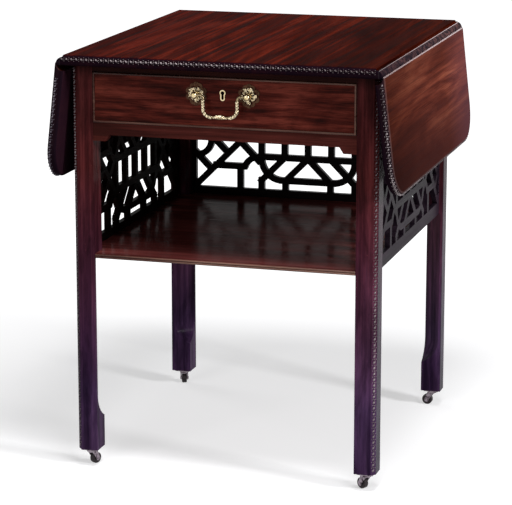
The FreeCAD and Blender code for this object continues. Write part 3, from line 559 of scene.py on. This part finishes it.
# Finishes on the made pieces
wears = {
    "top_board": top_wood, "top_rail": shaded_rail_wood,
    "leaf_right": leaf_wood_right, "leaf_left": leaf_wood_left,
    "side_rail_right": rail_wood_y, "side_rail_left": rail_wood_y,
    "fret_right": fret_wood_right, "fret_left": fret_wood_left, "fret_back": fret_wood_back,
    "drawer_side_right": oak_y, "drawer_side_left": oak_y,
    "drawer_runners": oak_y, "drawer_kickers": oak_y,
    "fly_blocks": oak_y, "fly_arm_right": oak_y, "fly_arm_left": oak_y,
    "handle_plate_left": recess_brass, "handle_plate_right": recess_brass,
    "handle_bail": stem_brass, "handle_posts": ball_brass, "escutcheon": ball_brass,
    "lock_case": lock_brass,
}
by_slot = {
    "leg": leg_wood, "rail": rail_wood_x, "shelf": shelf_wood, "drawer_front": front_wood,
    "cock_bead": bead_wood, "secondary_wood": oak_x, "hinge_iron": iron, "lock_iron": iron,
    "handle_brass": gilt_brass, "caster_brass": dark_brass, "caster_roller": leather_roller(),
}
for entry in frame["record"]["subparts"]:
    node = entry["node"]
    finish = wears.get(node) or by_slot[entry["material_slot"]]
    for held in nodes[node].material_slots:
        held.material = finish

# Carved runs: pitch along the run, height across it, relief out of the wood
EDGE_CARVING = (0.0085, 0.0080, 0.0023)
CORNER_CARVING = (0.0098, 0.0085, 0.0024)
# Leaves of one link: turn in degrees, place and length in pitches, width in heights
LINK_LEAVES = ((36, -0.2, 0.33, 0.21), (-62, 0.27, 0.17, 0.11))
LEAF_TIP_FROM, LEAF_TIP_TAPER = 0.4, (1.0, 0.75, 0.5)
# Beads of one link: place in pitches, places and radius in heights
BEAD_PLACE, BEAD_LIFTS, BEAD_RADIUS, BEAD_ROUND = 0.27, (0.38, -0.38), 0.1, 0.15


# Carved chain: a bold leaf, a small leaf across it and two beads, with the dark ground between
def carved_link(pitch, height, relief):
    pieces = []
    for turn, at, length, width in LINK_LEAVES:
        bpy.ops.object.select_all(action="DESELECT")
        bpy.ops.mesh.primitive_uv_sphere_add(segments=8, ring_count=6, radius=1.0,
                                             rotation=(0, math.pi / 2, 0))
        leaf = bpy.context.object
        settle(leaf)
        unselect_mesh()
        edit_points(leaf, lambda co: co.x > LEAF_TIP_FROM)
        bpy.ops.transform.resize(value=LEAF_TIP_TAPER)
        bpy.ops.object.mode_set(mode="OBJECT")
        leaf.scale = (length * pitch, relief, width * height)
        leaf.rotation_euler = (0, math.radians(turn), 0)
        leaf.location = (at * pitch, 0, 0)
        settle(leaf)
        pieces.append(leaf)
    for lift in BEAD_LIFTS:
        bpy.ops.object.select_all(action="DESELECT")
        bpy.ops.mesh.primitive_ico_sphere_add(subdivisions=1, radius=BEAD_RADIUS * height,
                                              location=(BEAD_PLACE * pitch, 0, lift * height))
        bead = bpy.context.object
        bead.scale = (1.0, relief / (BEAD_ROUND * height), 1.0)
        settle(bead)
        pieces.append(bead)
    return join(pieces)


def carved_run(link, pitch, length):
    run = copy_of(link)
    pick(run)
    row = run.modifiers.new("row", "ARRAY")
    row.count = max(1, int(round(length / pitch)))
    row.use_relative_offset = False
    row.use_constant_offset = True
    row.constant_offset_displace = (length / row.count, 0, 0)
    bpy.ops.object.modifier_apply(modifier="row")
    return run


# Carving along the front and back of the top, its ends clear of the raised leaves
TOP_RUN_LEFT, TOP_RUN_RIGHT = 0.0010, 0.0028
TOP_RUN_SUNK, TOP_RUN_DROP, TOP_RUN_LEAN = 0.0004, 0.0062, -14
edge_pitch = EDGE_CARVING[0]
edge_link = carved_link(*EDGE_CARVING)
first, last = TOP_RUN_LEFT - HINGE.x, HINGE.x - TOP_RUN_RIGHT
runs = []
for turn, y, inward in ((0, TOP_FRONT, 1), (math.pi, TOP_BACK, -1)):
    run = carved_run(edge_link, edge_pitch, last - first + edge_pitch)
    run.location = (inward * first, y + TOP_RUN_SUNK * inward, TOP - TOP_RUN_DROP)
    run.rotation_euler = (math.radians(TOP_RUN_LEAN), 0, turn)
    settle(run)
    runs.append(run)
dress(join(runs), "carving_top", carved_wood, "body")

# Carving round the free edges of a leaf, laid out level and let down
LEAF_RUN_START, LEAF_RUN_DROP, LEAF_RUN_SHORT = 0.0150, 0.0055, 0.004
END_STEPS, SIDE_STEPS = 12, 30


def leaf_path():
    x0, x1 = HINGE.x + LEAF_RUN_START, HINGE.x + LEAF_WIDTH
    h, r = TOP_BACK, LEAF_CORNER
    steps = range(1, END_STEPS + 1)
    arcs = [math.radians(90 * k / END_STEPS) for k in steps]
    points = [(x0 + (x1 - r - x0) * k / END_STEPS, -h) for k in range(END_STEPS + 1)]
    points += [(x1 - r + r * math.sin(a), -h + r - r * math.cos(a)) for a in arcs]
    points += [(x1, r - h + 2 * (h - r) * k / SIDE_STEPS) for k in range(1, SIDE_STEPS + 1)]
    points += [(x1 - r + r * math.cos(a), h - r + r * math.sin(a)) for a in arcs]
    points += [(x1 - r + (x0 - x1 + r) * k / END_STEPS, h) for k in steps]
    return points


def leaf_carving():
    points = leaf_path()
    line = bpy.data.curves.new("leaf_edge_line", "CURVE")
    line.dimensions = "2D"
    spline = line.splines.new("POLY")
    spline.points.add(len(points) - 1)
    for point, (x, y) in zip(spline.points, points):
        point.co = (x, y, 0, 1)
    guide = bpy.data.objects.new("leaf_edge_line", line)
    bpy.context.scene.collection.objects.link(guide)
    length = sum(math.dist(a, b) for a, b in zip(points, points[1:]))
    run = carved_run(edge_link, edge_pitch, length - LEAF_RUN_SHORT)
    pick(run)
    bend = run.modifiers.new("follow", "CURVE")
    bend.object = guide
    bend.deform_axis = "POS_X"
    bpy.ops.object.modifier_apply(modifier="follow")
    bpy.data.objects.remove(guide)
    bpy.data.curves.remove(line)
    return moved(run, shift(0, 0, TOP - LEAF_RUN_DROP))


right_run = leaf_carving()
moved(right_run, Matrix.Translation(HINGE) @ turned(LEAF_FALL, "Y") @ Matrix.Translation(-HINGE))
left_run = moved(copy_of(right_run), Matrix.Rotation(math.pi, 4, "Z"))
dress(right_run, "carving_leaf_right", carved_wood, "leaf_right")
# The left leaf's carving takes the painted shaded copy of the carving finish
dress(left_run, "carving_leaf_left", shaded_carving_leaf_wood, "leaf_left")

# Carving down the outer corner of each leg
CORNER_RUN_LIFT, CORNER_RUN_SHORT, CORNER_RUN_SUNK = 0.010, 0.012, 0.0002
corner_pitch = CORNER_CARVING[0]
corner_link = carved_link(*CORNER_CARVING)
leg_length = FRAME_HEAD - LEG_FOOT - CORNER_RUN_SHORT
for name in ("front_left", "front_right", "back_left", "back_right"):
    low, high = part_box("leg_" + name)
    sx = 1 if name.endswith("right") else -1
    sy = 1 if name.startswith("back") else -1
    corner = Vector((high.x if sx > 0 else low.x, high.y if sy > 0 else low.y, 0))
    face = corner - Vector((sx, sy, 0)) * (LEG_CHAMFER / 2 + CORNER_RUN_SUNK)
    out = Vector((sx, sy, 0)).normalized()
    up = Vector((0, 0, 1))
    side = up.cross(-out)
    turn = Matrix((up, -out, side)).transposed().to_4x4()
    turn = Matrix.Translation(face + up * (LEG_FOOT + CORNER_RUN_LIFT)) @ turn
    run = moved(carved_run(corner_link, corner_pitch, leg_length), turn)
    dress(run, "carving_leg_" + name, carved_leg_wood, "body")
for link in (edge_link, corner_link):
    bpy.data.objects.remove(link)

# Twin beads along the front of the shelf, their pale finish a painted highlight
SHELF_BEAD_DROPS = (0.0022, 0.0058)
SHELF_BEAD_RADIUS, SHELF_BEAD_SUNK, SHELF_BEAD_SHORT = 0.0016, 0.0004, 0.001
BEAD_END_ROUND, SAME_END = 0.0004, 0.0001


def shelf_beads():
    low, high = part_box("shelf")
    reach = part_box("leg_front_right")[0].x
    beads = []
    for drop in SHELF_BEAD_DROPS:
        bpy.ops.object.select_all(action="DESELECT")
        bpy.ops.mesh.primitive_cylinder_add(vertices=16, radius=SHELF_BEAD_RADIUS,
                                            depth=2 * reach - SHELF_BEAD_SHORT,
                                            rotation=(0, math.pi / 2, 0),
                                            location=(0, low.y + SHELF_BEAD_SUNK, high.z - drop))
        bead = bpy.context.object
        settle(bead)
        unselect_mesh()
        for edge in bead.data.edges:
            ends = [bead.data.vertices[v].co.x for v in edge.vertices]
            edge.select = abs(ends[0] - ends[1]) < SAME_END
        bpy.ops.object.mode_set(mode="EDIT")
        bpy.ops.mesh.bevel(offset=BEAD_END_ROUND, segments=2)
        bpy.ops.object.mode_set(mode="OBJECT")
        beads.append(bead)
    return join(beads)


dress(shelf_beads(), "shelf_front_beads", moulding_wood, "body")

# Cast leaf for the handle: where it tapers along its half length, and how much
LEAF_TAPERS = ((0.3, (1.0, 0.85, 0.75)), (0.8, (1.15, 0.6, 0.4)))
VEIN_FRONT, VEIN_WIDTH, VEIN_LENGTH, VEIN_DEPTH = -0.5, 0.25, 0.8, 0.28


# A pointed oval with a sunk vein, tip along +X and back on the XZ plane
def cast_leaf(length, width, lift):
    bpy.ops.object.select_all(action="DESELECT")
    bpy.ops.mesh.primitive_uv_sphere_add(segments=12, ring_count=8, radius=1.0,
                                         rotation=(0, math.pi / 2, 0))
    leaf = bpy.context.object
    settle(leaf)
    for start, taper in LEAF_TAPERS:
        unselect_mesh()
        edit_points(leaf, lambda co: co.x > start)
        bpy.ops.transform.resize(value=taper)
        bpy.ops.object.mode_set(mode="OBJECT")
    edit_points(leaf, lambda co: (co.y < VEIN_FRONT and abs(co.z) < VEIN_WIDTH
                                  and abs(co.x) < VEIN_LENGTH))
    bpy.ops.transform.translate(value=(0, VEIN_DEPTH, 0))
    bpy.ops.object.mode_set(mode="OBJECT")
    leaf.location = (length / 2, 0, 0)
    leaf.scale = (length / 2, lift, width / 2)
    settle(leaf)
    return leaf


# Sizes of the cast leaves: length, width, lift
SPRIG_LEAF = (0.0086, 0.0029, 0.0021)
SPRIG_CURL = (0.0036, 0.0030, 0.0022)
SMALL_LEAF = (0.0062, 0.0030, 0.0018)
BAIL_LEAF = (0.0082, 0.0046, 0.0030)
# Side sprays of a sprig: place along it, turn in degrees, length
SPRAYS = ((0.0026, 50, 0.0048), (0.0040, -55, 0.0042), (0.0062, 62, 0.0028))
SPRAY_WIDTH, SPRAY_LIFT = 0.0024, 0.0016
CURL_PLACE, CURL_TURN = (0.0076, -0.0006, 0), -75


def sprig():
    parts = [cast_leaf(*SPRIG_LEAF)]
    for at, turn, length in SPRAYS:
        spray = cast_leaf(length, SPRAY_WIDTH, SPRAY_LIFT)
        parts.append(moved(spray, shift(at, 0, 0) @ turned(turn, "Y")))
    curl = cast_leaf(*SPRIG_CURL)
    parts.append(moved(curl, shift(*CURL_PLACE) @ turned(CURL_TURN, "Y")))
    return join(parts)


# Rosette round a post: sprigs in a ragged ring, and small leaves in front of them
SPRIGS, SPRIG_STEP, SPRIG_STRAY = 13, 27.7, 13
SPRIG_GROWTH, SPRIG_TILT, SPRIG_TWIST = (0.62, 1.12), (-15, -3), (-28, 28)
SPRIG_RING, SMALL_RING = (0.0056, -0.0008, 0), (0.0046, -0.0020, 0)
SMALL_LEAVES, SMALL_STEP, SMALL_START, SMALL_STRAY, SMALL_TILT = 9, 40, 20, 8, -10


def rosette(side):
    middle = Matrix.Translation((side * HANDLE_POST, PLATE_FRONT, HANDLE.z))
    leaves = []
    base = sprig()
    for k in range(SPRIGS):
        turn = 90 + side * (k * SPRIG_STEP + random.uniform(-SPRIG_STRAY, SPRIG_STRAY))
        grow = random.uniform(*SPRIG_GROWTH)
        tilt = random.uniform(*SPRIG_TILT)
        twist = random.uniform(*SPRIG_TWIST)
        place = (middle @ turned(-turn, "Y") @ shift(*SPRIG_RING)
                 @ turned(tilt, "Z") @ turned(twist, "Y") @ Matrix.Scale(grow, 4))
        leaves.append(moved(copy_of(base), place))
    small = cast_leaf(*SMALL_LEAF)
    for k in range(SMALL_LEAVES):
        stray = random.uniform(-SMALL_STRAY, SMALL_STRAY)
        turn = 90 + side * (k * SMALL_STEP + SMALL_START + stray)
        place = middle @ turned(-turn, "Y") @ shift(*SMALL_RING) @ turned(SMALL_TILT, "Z")
        leaves.append(moved(copy_of(small), place))
    bpy.data.objects.remove(base)
    bpy.data.objects.remove(small)
    return join(leaves)


for side, name in ((-1, "left"), (1, "right")):
    dress(rosette(side), "rosette_leaves_" + name, rosette_brass, "drawer", angle=60)

# Cast leafage along the swinging handle: pairs of leaves down each arm, a crest at the grip
BAIL_DROP, BAIL_BEND, BAIL_SHOULDER, BAIL_NECK = 0.035, 0.014, 0.006, 0.0349
ARM_PAIRS, ARM_START, ARM_STEP = 4, 0.0085, 0.0045
BEND_PAIRS, BEND_START, BEND_STEP = 4, 12, 22
PAIR_SPREAD, PAIR_FRONT = 40, 0.0006
PAIR_BACK, PAIR_RISE, PAIR_APART = -0.0028, -0.0007, 0.0009
CREST, CREST_STEP, CREST_FAN = range(-3, 4), 0.0030, 17
CREST_FRONT, CREST_LIFT, CREST_SAG = 0.0010, 0.0016, 0.0004
CREST_BACK, CREST_RISE, CREST_SIZE = -0.0034, -0.0010, 0.92


def bail_leafage():
    arm = BAIL_NECK - BAIL_SHOULDER
    path = []
    for k in range(ARM_PAIRS):
        path.append((Vector((arm, 0, -ARM_START - ARM_STEP * k)), Vector((0, 0, -1))))
    middle = Vector((arm - BAIL_BEND, 0, BAIL_BEND - BAIL_DROP))
    for k in range(BEND_PAIRS):
        a = math.radians(BEND_START + BEND_STEP * k)
        path.append((middle + BAIL_BEND * Vector((math.cos(a), 0, -math.sin(a))),
                     Vector((-math.sin(a), 0, -math.cos(a)))))
    scale_leaf = cast_leaf(*BAIL_LEAF)
    pieces = []
    for side in (-1, 1):
        for point, way in path:
            for lean in (-1, 1):
                spot = shift(side * point.x, HANDLE.y - PAIR_FRONT, HANDLE.z + point.z)
                turn = math.atan2(way.z, side * way.x)
                place = (spot @ Matrix.Rotation(-turn, 4, "Y") @ turned(PAIR_SPREAD * lean, "Y")
                         @ shift(PAIR_BACK, PAIR_RISE, PAIR_APART * lean))
                pieces.append(moved(copy_of(scale_leaf), place))
    for k in CREST:
        spot = shift(CREST_STEP * k, HANDLE.y - CREST_FRONT,
                     HANDLE.z - BAIL_DROP + CREST_LIFT - CREST_SAG * abs(k))
        place = (spot @ turned(90 - CREST_FAN * k, "Y") @ shift(CREST_BACK, CREST_RISE, 0)
                 @ Matrix.Scale(CREST_SIZE, 4))
        pieces.append(moved(copy_of(scale_leaf), place))
    bpy.data.objects.remove(scale_leaf)
    return join(pieces)


dress(bail_leafage(), "bail_leafage", bail_brass, "bail", angle=60)

# Pale floor: its grey and how white it is shown, from near the table outwards
FLOOR_SIZE, FLOOR_GREY = 60.0, (0.62, 0.62, 0.63, 1)
FLOOR_WHITE, WHITE_FROM, WHITE_TO = 0.48, 0.6, 1.9


# One where the eye, a mirror or a glass looks straight at it, nothing for its light
def looked_at(tree):
    seen = tree.nodes.new("ShaderNodeLightPath").outputs
    shown = seen["Is Camera Ray"]
    for ray in ("Is Glossy Ray", "Is Transmission Ray"):
        either = tree.nodes.new("ShaderNodeMath")
        either.operation = "MAXIMUM"
        tree.links.new(shown, either.inputs[0])
        tree.links.new(seen[ray], either.inputs[1])
        shown = either.outputs["Value"]
    return shown


def floor():
    bpy.ops.object.select_all(action="DESELECT")
    bpy.ops.mesh.primitive_plane_add(size=FLOOR_SIZE, location=(0, 0, 0))
    ground = bpy.context.object
    ground.name = "floor"
    pale = Finish("pale_floor")
    away = pale.add("ShaderNodeVectorMath", operation="LENGTH")
    pale.link(pale.spot, away.inputs[0])
    white = pale.span(away.outputs["Value"], WHITE_FROM, WHITE_TO, FLOOR_WHITE, 1.0)
    glow = pale.add("ShaderNodeEmission")
    pale.link(pale.maths("MULTIPLY", looked_at(pale.tree), white), glow.inputs["Strength"])
    diffuse = pale.add("ShaderNodeBsdfDiffuse")
    diffuse.inputs["Color"].default_value = FLOOR_GREY
    both = pale.add("ShaderNodeAddShader")
    pale.link(diffuse.outputs["BSDF"], both.inputs[0])
    pale.link(glow.outputs["Emission"], both.inputs[1])
    pale.link(both.outputs["Shader"], pale.tree.nodes["Material Output"].inputs["Surface"])
    pale.tree.nodes.remove(pale.shader)
    ground.data.materials.append(pale.material)


# Studio: soft light all round, shown as white
SOFT_COLOUR, SOFT_STRENGTH = (0.97, 0.98, 1.0, 1), 0.12


def surroundings():
    scene = bpy.context.scene
    world = bpy.data.worlds.new("studio")
    scene.world = world
    world.use_nodes = True
    tree = world.node_tree
    tree.nodes.clear()
    white = tree.nodes.new("ShaderNodeBackground")
    white.inputs["Color"].default_value = (1, 1, 1, 1)
    soft = tree.nodes.new("ShaderNodeBackground")
    soft.inputs["Color"].default_value = SOFT_COLOUR
    soft.inputs["Strength"].default_value = SOFT_STRENGTH
    mix = tree.nodes.new("ShaderNodeMixShader")
    out = tree.nodes.new("ShaderNodeOutputWorld")
    tree.links.new(looked_at(tree), mix.inputs["Fac"])
    tree.links.new(soft.outputs["Background"], mix.inputs[1])
    tree.links.new(white.outputs["Background"], mix.inputs[2])
    tree.links.new(mix.outputs["Shader"], out.inputs["Surface"])
    scene.view_settings.view_transform = "Standard"


def lamp(name, place, aim, size, power):
    light = bpy.data.lights.new(name, "AREA")
    light.shape = "SQUARE"
    light.size = size
    light.energy = power
    holder = bpy.data.objects.new(name, light)
    bpy.context.scene.collection.objects.link(holder)
    holder.location = place
    holder.rotation_mode = "QUATERNION"
    holder.rotation_quaternion = (Vector(aim) - Vector(place)).to_track_quat("-Z", "Y")


# Camera: place, how far it dips and turns in degrees, lens and film width in millimetres
CAMERA_PLACE, CAMERA_DIP, CAMERA_TURN = (1.123, -3.912, 1.271), 13.02, 16.34
CAMERA_LENS, FILM_WIDTH, CAMERA_REACH = 167.4, 36.0, 200.0


def camera():
    lens = bpy.data.cameras.new("camera")
    lens.sensor_width = FILM_WIDTH
    lens.lens = CAMERA_LENS
    lens.clip_end = CAMERA_REACH
    holder = bpy.data.objects.new("camera", lens)
    bpy.context.scene.collection.objects.link(holder)
    holder.location = CAMERA_PLACE
    holder.rotation_euler = (math.radians(90 - CAMERA_DIP), 0, math.radians(CAMERA_TURN))
    bpy.context.scene.camera = holder


floor()
surroundings()
lamp("softbox_right", (2.95, -1.0, 1.8), (0.0, 0.0, 0.45), 0.6, 80.0)
lamp("softbox_front", (-1.0, -3.5, 1.9), (0.0, 0.0, 0.45), 1.8, 33.0)
lamp("softbox_over", (0.5, -0.9, 2.9), (0.0, 0.0, 0.4), 0.7, 46.0)
lamp("softbox_left", (-2.6, 1.3, 2.0), (0.0, 0.0, 0.45), 1.4, 12.0)
camera()
